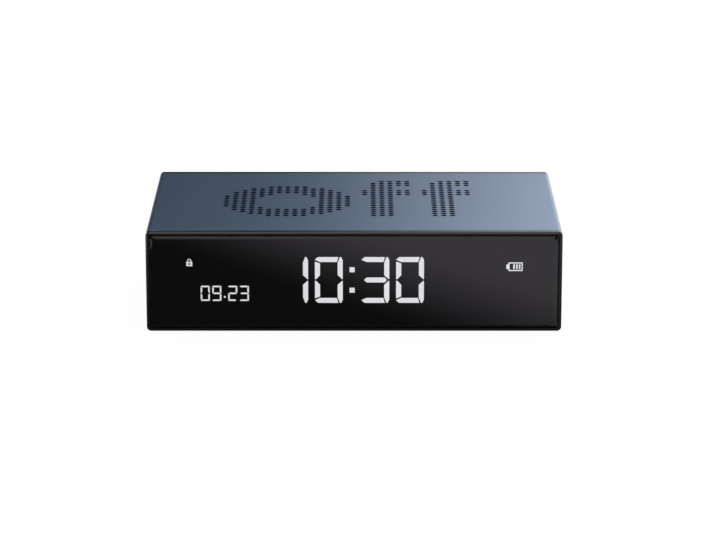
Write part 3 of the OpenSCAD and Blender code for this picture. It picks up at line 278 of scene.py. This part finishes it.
# LCD
# A black glass panel, under a matt polariser, whose figures let the backlight through: time, date, key
# lock and battery gauge. The light is a little uneven, because it comes from the ends of the guide.
film, tree, place = start_material("matt_black_film")
haze_spot = 6 * MM
haze = add_node(tree, "TexNoise", {"Vector": place, "Scale": 1 / haze_spot, "Detail": 1.0}).outputs["Fac"]
black = add_node(tree, "Mix", {0: haze, 6: linear("#020203"), 7: linear("#040405")}, data_type="RGBA")
shader = add_node(tree, "BsdfPrincipled", {"Base Color": black.outputs[2], "Roughness": 0.6,
                                           "Specular IOR Level": 0.05})
add_node(tree, "OutputMaterial", {"Surface": shader.outputs[0]})
paint(film, "lcd_panel")

lit, tree, place = start_material("lit_lcd_figures")
cloud = 9 * MM
clouds = add_node(tree, "TexNoise", {"Vector": place, "Scale": 1 / cloud, "Detail": 1.0}).outputs["Fac"]
glow = add_node(tree, "Mix", {0: clouds, 6: linear("#eae8ec"), 7: linear("#f6f5f6")}, data_type="RGBA")
shader = add_node(tree, "BsdfPrincipled", {"Base Color": glow.outputs[2], "Roughness": 0.5,
                                           "Emission Color": glow.outputs[2], "Emission Strength": 1.15})
add_node(tree, "OutputMaterial", {"Surface": shader.outputs[0]})
lit.cycles.emission_sampling = "NONE"
paint(lit, "time_segments", "date_segments", "status_icons")

# Front frame
# Black polycarbonate, plugged into the sleeve's front end and held by four countersunk screws that the
# lens then covers. Its outside and bevel are polished, and its face round the lens is matt.
polycarbonate, tree, place = start_material("black_polycarbonate")
bevel = 0.4 * MM
ripple_w = 6 * MM
frame_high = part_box("front_frame")[1]
ripple = add_node(tree, "TexNoise", {"Vector": place, "Scale": 1 / ripple_w, "Detail": 1.0}).outputs["Fac"]
black = add_node(tree, "Mix", {0: ripple, 6: linear("#070708"), 7: linear("#0b0b0d")}, data_type="RGBA")
offset = add_node(tree, "VectorMath", {0: place, 1: (0, 0, mid_z)}, operation="SUBTRACT").outputs[0]
reach = add_node(tree, "VectorMath", {0: offset}, operation="ABSOLUTE").outputs[0]
axes = add_node(tree, "SeparateXYZ", {"Vector": reach}).outputs
across = add_node(tree, "Math", {0: axes["X"], 1: frame_high.x - bevel}, operation="LESS_THAN").outputs[0]
upright = add_node(tree, "Math", {0: axes["Z"], 1: frame_high.z - mid_z - bevel}, operation="LESS_THAN")
face = add_node(tree, "Math", {0: across, 1: upright.outputs[0]}, operation="MULTIPLY").outputs[0]
polish = add_node(tree, "MapRange", {"Value": ripple, "To Min": 0.06, "To Max": 0.1}).outputs[0]
gloss = add_node(tree, "Mix", {0: face, 2: polish, 3: 0.75}).outputs[0]
relief = add_node(tree, "Bump", {"Height": ripple, "Strength": 0.2, "Distance": 0.02 * MM}).outputs[0]
shader = add_node(tree, "BsdfPrincipled", {"Base Color": black.outputs[2], "Roughness": gloss, "IOR": 1.58,
                                           "Normal": relief})
add_node(tree, "OutputMaterial", {"Surface": shader.outputs[0]})
paint(polycarbonate, "front_frame")
paint(plated_steel, "front_screws")

# Lens
# Tinted acrylic, polished, with a bevelled front edge. A ring of black tape holds it on the frame and
# hides everything but the LCD's window, where clear adhesive joins it to the LCD without a gap. It lies
# low in its opening, so a dark gap shows above it and at its sides.
paint(film, "lens_tape")
tinted, tree, place = start_material("tinted_acrylic")
flow_mark = 14 * MM
flow = add_node(tree, "TexNoise", {"Vector": place, "Scale": 1 / flow_mark, "Detail": 1.0}).outputs["Fac"]
tint = add_node(tree, "Mix", {0: flow, 6: linear("#a4a3a5"), 7: linear("#a7a6a8")}, data_type="RGBA")
polish = add_node(tree, "MapRange", {"Value": flow, "To Min": 0.0, "To Max": 0.006}).outputs[0]
shader = add_node(tree, "BsdfPrincipled", {"Base Color": tint.outputs[2], "Roughness": polish, "IOR": 1.49,
                                           "Specular Tint": linear("#fcf4ff"), "Transmission Weight": 1.0})
add_node(tree, "OutputMaterial", {"Surface": shader.outputs[0]})

lens_low, lens_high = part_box("display_lens")
lcd_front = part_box("lcd_panel")[0].y
adhesive_overlap = 0.01 * MM
corner_r = 0.5 * MM
corner_segments = 6
edge_slope_w = 0.64 * MM
edge_slope_d = 0.32 * MM
shadow_gap = 0.22 * MM
smooth_angle = math.radians(15)
lens_back = lcd_front + adhesive_overlap
lens_size = lens_high - lens_low - Vector((2 * shadow_gap, 0, shadow_gap))
bpy.ops.object.select_all(action="DESELECT")
bpy.ops.mesh.primitive_cube_add(size=1)
lens = bpy.context.object
lens.name = "bonded_lens"
bpy.ops.object.mode_set(mode="EDIT")
bpy.ops.transform.resize(value=(lens_size.x, lens_back - lens_low.y, lens_size.z))
bpy.ops.transform.translate(value=(0, (lens_back + lens_low.y) / 2, lens_low.z + lens_size.z / 2))
# The front face is moved back, inset and pulled out again, which leaves a slope all round it
bpy.ops.mesh.select_all(action="DESELECT")
bpy.ops.object.mode_set(mode="OBJECT")
for face in lens.data.polygons:
    face.select = face.normal.y < -0.9
bpy.ops.object.mode_set(mode="EDIT")
bpy.ops.mesh.select_mode(type="FACE")
bpy.ops.transform.translate(value=(0, edge_slope_d, 0))
bpy.ops.mesh.inset(thickness=edge_slope_w, depth=0)
bpy.ops.transform.translate(value=(0, -edge_slope_d, 0))
# The four corners are rounded, along the sides and down the slope
bpy.ops.mesh.select_all(action="DESELECT")
bpy.ops.object.mode_set(mode="OBJECT")
for edge in lens.data.edges:
    ends = [lens.data.vertices[i].co for i in edge.vertices]
    edge.select = ends[0].x * ends[1].x > 0 and (ends[0].z - mid_z) * (ends[1].z - mid_z) > 0
bpy.ops.object.mode_set(mode="EDIT")
bpy.ops.mesh.select_mode(type="EDGE")
bpy.ops.mesh.bevel(offset=corner_r, segments=corner_segments, affect="EDGES")
bpy.ops.object.mode_set(mode="OBJECT")
bpy.ops.object.shade_smooth_by_angle(angle=smooth_angle)
lens.data.materials.append(tinted)
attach(lens, "clock_case")
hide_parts("display_lens")

# Key switches
# Four tact switches with steel shells, soldered to the rear board. Their black plungers stand under the
# keys and spring back.
paint(plated_steel, "switch_bodies")
paint(epoxy, "time_plunger", "alarm_plunger", "plus_plunger", "minus_plunger")

# Keys
# Four caps moulded in matt black ABS, held behind the cover by their flanges and pressed back by the
# switches. Each has its sign printed on it in white: clock, bell, plus and minus.

# The keys' mould gives a fine, soft grain. The ink lies on it as a thin matt film.
key_abs = mottled("matt_black_abs", "#151516", "#1d1d1f", spot=0.25, rough=0.5, relief=0.02)
paint(key_abs, "time_key", "alarm_key", "plus_key", "minus_key")
white_ink = mottled("white_printing_ink", "#d9d9d6", "#e6e6e3", spot=0.2, rough=0.6, relief=0.003)
ink_t = 0.03 * MM
ink_line = 0.36 * MM


def finish_sign(signs, name, key, body):
    """Joins a sign's flat pieces, thickens them and stands them on the key's face."""
    bpy.ops.object.select_all(action="DESELECT")
    for sign in signs:
        sign.select_set(True)
    printed = signs[0]
    bpy.context.view_layer.objects.active = printed
    if len(signs) > 1:
        bpy.ops.object.join()
    printed.name = name
    bpy.ops.object.mode_set(mode="EDIT")
    bpy.ops.mesh.select_all(action="SELECT")
    bpy.ops.mesh.extrude_region_move(TRANSFORM_OT_translate={"value": (0, 0, ink_t)})
    bpy.ops.mesh.select_all(action="SELECT")
    bpy.ops.mesh.normals_make_consistent(inside=False)
    bpy.ops.object.mode_set(mode="OBJECT")
    low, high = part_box(key)
    printed.rotation_euler = (math.radians(90), 0, math.radians(180))
    printed.location = ((low.x + high.x) / 2, high.y, (low.z + high.z) / 2)
    bpy.ops.object.transform_apply(location=True, rotation=True, scale=True)
    printed.data.materials.append(white_ink)
    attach(printed, body)


def bar(middle, length, turn):
    """A flat bar with round ends, turned about its middle."""
    bpy.ops.object.select_all(action="DESELECT")
    bpy.ops.mesh.primitive_plane_add(size=1)
    stroke = bpy.context.object
    bpy.ops.object.mode_set(mode="EDIT")
    bpy.ops.transform.resize(value=(length, ink_line, 1))
    bpy.ops.mesh.bevel(offset=ink_line * 0.49, segments=5, affect="VERTICES")
    bpy.ops.object.mode_set(mode="OBJECT")
    stroke.rotation_euler = (0, 0, math.radians(turn))
    stroke.location = middle
    bpy.ops.object.transform_apply(location=True, rotation=True, scale=True)
    return stroke


def ring(middle, radius, hole):
    """A flat ring, or a disc where it has no hole."""
    bpy.ops.object.select_all(action="DESELECT")
    bpy.ops.mesh.primitive_circle_add(vertices=40, radius=radius, fill_type="NGON")
    round_sign = bpy.context.object
    if hole > 0:
        bpy.ops.object.mode_set(mode="EDIT")
        bpy.ops.mesh.inset(thickness=radius - hole, depth=0)
        bpy.ops.mesh.delete(type="FACE")
        bpy.ops.object.mode_set(mode="OBJECT")
    round_sign.location = middle
    bpy.ops.object.transform_apply(location=True, rotation=True, scale=True)
    return round_sign


# Clock: a ring with two hands
clock_r = 1.35 * MM
minute_l = 0.95 * MM
minute_rise = 0.34 * MM
hour_l = 0.75 * MM
hour_shift = 0.24 * MM
dial = ring((0, 0, 0), clock_r, clock_r - ink_line)
minute_hand = bar((0, minute_rise, 0), minute_l, 90)
hour_hand = bar((hour_shift, 0, 0), hour_l, 0)
finish_sign([dial, minute_hand, hour_hand], "clock_sign", "time_key", "time_button")

# Bell: a dome that flares to its rim, with its clapper below. Each step of the flare has its drop in
# millimetres and its spread.
dome_w = 1.3 * MM
dome_h = 1.1 * MM
dome_middle = 0.65 * MM
dome_r = 0.62 * MM
flare = ((0.55, 1.15), (0.3, 1.4), (0.2, 1.12))
clapper_drop = 1.25 * MM
clapper_r = 0.3 * MM
bpy.ops.object.select_all(action="DESELECT")
bpy.ops.mesh.primitive_plane_add(size=1)
bell = bpy.context.object
bpy.ops.object.mode_set(mode="EDIT")
bpy.ops.transform.resize(value=(dome_w, dome_h, 1))
bpy.ops.transform.translate(value=(0, dome_middle, 0))
bpy.ops.mesh.select_all(action="DESELECT")
bpy.ops.object.mode_set(mode="OBJECT")
for edge in bell.data.edges:
    edge.select = all(bell.data.vertices[i].co.y < dome_middle for i in edge.vertices)
bpy.ops.object.mode_set(mode="EDIT")
bpy.ops.mesh.select_mode(type="EDGE")
for drop, spread in flare:
    bpy.ops.mesh.extrude_edges_move(TRANSFORM_OT_translate={"value": (0, -drop * MM, 0)})
    bpy.ops.transform.resize(value=(spread, 1, 1))
bpy.ops.mesh.select_all(action="DESELECT")
bpy.ops.object.mode_set(mode="OBJECT")
for corner in bell.data.vertices:
    corner.select = corner.co.y > dome_middle
bpy.ops.object.mode_set(mode="EDIT")
bpy.ops.mesh.select_mode(type="VERT")
bpy.ops.mesh.bevel(offset=dome_r, segments=8, affect="VERTICES")
bpy.ops.object.mode_set(mode="OBJECT")
clapper = ring((0, -clapper_drop, 0), clapper_r, 0)
finish_sign([bell, clapper], "bell_sign", "alarm_key", "alarm_button")

# Plus and minus
sign_l = 2.3 * MM
finish_sign([bar((0, 0, 0), sign_l, 0)], "minus_sign", "minus_key", "minus_button")
bpy.ops.object.select_all(action="DESELECT")
bpy.ops.mesh.primitive_plane_add(size=ink_line)
plus = bpy.context.object
bpy.ops.object.mode_set(mode="EDIT")
bpy.ops.mesh.select_mode(type="EDGE")
arm = (sign_l - ink_line) / 2
for way in (Vector((1, 0, 0)), Vector((0, 1, 0)), Vector((-1, 0, 0)), Vector((0, -1, 0))):
    bpy.ops.mesh.select_all(action="DESELECT")
    bpy.ops.object.mode_set(mode="OBJECT")
    for edge in plus.data.edges:
        middle = sum((plus.data.vertices[i].co for i in edge.vertices), Vector()) / 2
        edge.select = (middle - way * ink_line / 2).length < ink_line / 9
    bpy.ops.object.mode_set(mode="EDIT")
    bpy.ops.mesh.extrude_edges_move(TRANSFORM_OT_translate={"value": way * arm})
bpy.ops.object.mode_set(mode="OBJECT")
finish_sign([plus], "plus_sign", "plus_key", "plus_button")

# Charging socket
# A drawn steel shell, nickel plated, with a black contact tongue inside. It is soldered to the rear board,
# behind its opening in the back cover.
paint(plated_steel, "usb_shell")
paint(epoxy, "usb_tongue")

# Back cover
# Black polycarbonate like the front frame's, plugged into the sleeve's back end. Four round-headed screws
# of blackened steel, which has a dull gloss, are sunk in it and driven into the sleeve's ports.
paint(polycarbonate, "rear_cover")
paint(mottled("blackened_steel", "#19191a", "#262627", spot=0.5, rough=0.35, relief=0.01, metallic=0.9),
      "rear_screws")

# Floor
# A plain white table. The camera and glass see it white, with the clock's shadow. Reflections in the lens
# see it white to the right and dark in front on the left, where a black flag would lie in a studio, and
# the frame's edges see a narrow black card. From below it is clear, so that the lower face can be seen.
floor_w = 8
floor_drop = 0.02 * MM
bpy.ops.object.select_all(action="DESELECT")
bpy.ops.mesh.primitive_plane_add(size=floor_w, location=(0, 0, -floor_drop))
floor = bpy.context.object
floor.name = "floor"
white_table, tree, place = start_material("white_table")
flag_turn = math.radians(-40.4)
flag_edge = 62 * MM
flag_blur = 30 * MM
flag_front = -33 * MM
flag_left = -130 * MM
card_edge = -33.5 * MM
card_slope = 0.055
card_half = 45 * MM
table_level = 1.0
flag_level = 0.1
seen_level = 1.04
seen_share = 0.9
turned = add_node(tree, "VectorRotate", {"Vector": place, "Angle": -flag_turn}, rotation_type="Z_AXIS")
past_edge = add_node(tree, "SeparateXYZ", {"Vector": turned.outputs[0]}).outputs["X"]
clear = add_node(tree, "MapRange", {"Value": past_edge, "From Min": flag_edge - flag_blur,
                                    "From Max": flag_edge + flag_blur}, interpolation_type="SMOOTHSTEP")
spot = add_node(tree, "SeparateXYZ", {"Vector": place}).outputs
before = add_node(tree, "Math", {0: spot["Y"], 1: flag_front}, operation="LESS_THAN").outputs[0]
aside = add_node(tree, "Math", {0: spot["X"]}, operation="ABSOLUTE").outputs[0]
wing = add_node(tree, "Math", {0: aside, 1: card_half}, operation="MAXIMUM").outputs[0]
card_back = add_node(tree, "Math", {0: wing, 1: card_slope, 2: card_edge}, operation="MULTIPLY_ADD")
behind = add_node(tree, "Math", {0: spot["Y"], 1: card_back.outputs[0]}, operation="GREATER_THAN").outputs[0]
beside = add_node(tree, "Math", {0: spot["X"], 1: flag_left}, operation="LESS_THAN").outputs[0]
around = add_node(tree, "Math", {0: behind, 1: beside}, operation="MAXIMUM").outputs[0]
ahead = add_node(tree, "Math", {0: clear.outputs[0], 1: before}, operation="MULTIPLY").outputs[0]
unflagged = add_node(tree, "Math", {0: ahead, 1: around}, operation="MAXIMUM").outputs[0]
mirrored = add_node(tree, "MapRange", {"Value": unflagged, "To Min": flag_level, "To Max": table_level})
rays = add_node(tree, "LightPath", {}).outputs
level = add_node(tree, "Mix", {0: rays["Is Glossy Ray"], 2: seen_level, 3: mirrored.outputs[0]}).outputs[0]
seen = add_node(tree, "Math", {0: rays["Is Camera Ray"], 1: rays["Is Transmission Ray"]}, operation="MAXIMUM")
seen_white = add_node(tree, "Math", {0: seen.outputs[0], 1: seen_share}, operation="MULTIPLY").outputs[0]
share = add_node(tree, "Math", {0: seen_white, 1: rays["Is Glossy Ray"]}, operation="MAXIMUM").outputs[0]
lit_table = add_node(tree, "BsdfDiffuse", {"Color": linear("#f2f2f2")})
glow_table = add_node(tree, "Emission", {"Color": linear("#ffffff"), "Strength": level})
table = add_node(tree, "MixShader", {0: share, 1: lit_table.outputs[0], 2: glow_table.outputs[0]})
below = add_node(tree, "NewGeometry", {}).outputs["Backfacing"]
nothing = add_node(tree, "BsdfTransparent", {})
one_sided = add_node(tree, "MixShader", {0: below, 1: table.outputs[0], 2: nothing.outputs[0]})
add_node(tree, "OutputMaterial", {"Surface": one_sided.outputs[0]})
white_table.cycles.emission_sampling = "NONE"
floor.data.materials.append(white_table)

# Light
# A white studio that reflections see dim, and six softboxes. The satin top mirrors the one behind on the
# right, whose left edge is soft, and the high one. The edges mirror those at the sides, on top and in front.
room_level = 0.65
mirrored_level = 0.03
scene = bpy.context.scene
world = bpy.data.worlds.new("studio")
scene.world = world
world.use_nodes = True
tree = world.node_tree
tree.nodes.clear()
rays = add_node(tree, "LightPath", {}).outputs
seen = add_node(tree, "Math", {0: rays["Is Camera Ray"], 1: rays["Is Transmission Ray"]}, operation="MAXIMUM")
room = add_node(tree, "Mix", {0: rays["Is Glossy Ray"], 2: room_level, 3: mirrored_level}).outputs[0]
level = add_node(tree, "Mix", {0: seen.outputs[0], 2: room, 3: 1.0}).outputs[0]
studio = add_node(tree, "Background", {"Color": linear("#ffffff"), "Strength": level})
add_node(tree, "OutputWorld", {"Surface": studio.outputs[0]})


def softbox(name, middle, aim, width, height, level, edge):
    """A lit panel, in millimetres, hidden from the camera, that fades out over a width at its left edge."""
    bpy.ops.object.select_all(action="DESELECT")
    bpy.ops.mesh.primitive_plane_add(size=1)
    panel = bpy.context.object
    panel.name = name
    panel.scale = (width * MM, height * MM, 1)
    panel.location = Vector(middle) * MM
    panel.rotation_euler = (Vector(aim) - Vector(middle)).to_track_quat("Z", "Y").to_euler()
    panel.visible_camera = False
    panel.visible_shadow = False
    material, tree, place = start_material(name)
    left = add_node(tree, "SeparateXYZ", {"Vector": place}).outputs["X"]
    fade = add_node(tree, "MapRange", {"Value": left, "From Min": -0.5, "From Max": edge / width - 0.5,
                                       "To Max": level}, interpolation_type="SMOOTHSTEP")
    glow = add_node(tree, "Emission", {"Strength": fade.outputs[0]})
    add_node(tree, "OutputMaterial", {"Surface": glow.outputs[0]})
    panel.data.materials.append(material)


softbox("back_softbox", (185, 320, 140), (185, 0, 140), width=460, height=280, level=1.49, edge=210)
softbox("high_softbox", (125, 260, 430), (20, 0, 26), width=260, height=260, level=5.6, edge=30)
softbox("right_softbox", (430, 120, 150), (0, 120, 150), width=560, height=300, level=0.75, edge=30)
softbox("left_softbox", (-430, 120, 150), (0, 120, 150), width=560, height=300, level=1.2, edge=30)
softbox("top_softbox", (20, -170, 540), (0, -30, 26), width=560, height=420, level=1.2, edge=30)
softbox("front_softbox", (0, -800, 480), (0, -30, 26), width=600, height=300, level=1.0, edge=30)

# Camera
# In front of the clock and a little above it, as in the photograph, for a picture of 716 by 540. The focal
# length is in pixels of that picture, the place in millimetres and the downward tilt in degrees.
picture_w = 716
focal_px = 3164.7
pitch = 15.532
camera_place = (1.0, -800.5, 229.7)
camera = bpy.data.objects.new("camera", bpy.data.cameras.new("camera"))
scene.collection.objects.link(camera)
camera.location = Vector(camera_place) * MM
camera.rotation_euler = (math.radians(90 - pitch), 0, 0)
camera.data.sensor_width = 36
camera.data.lens = focal_px * camera.data.sensor_width / picture_w
camera.data.clip_start = 10 * MM
scene.camera = camera
scene.view_settings.view_transform = "Standard"
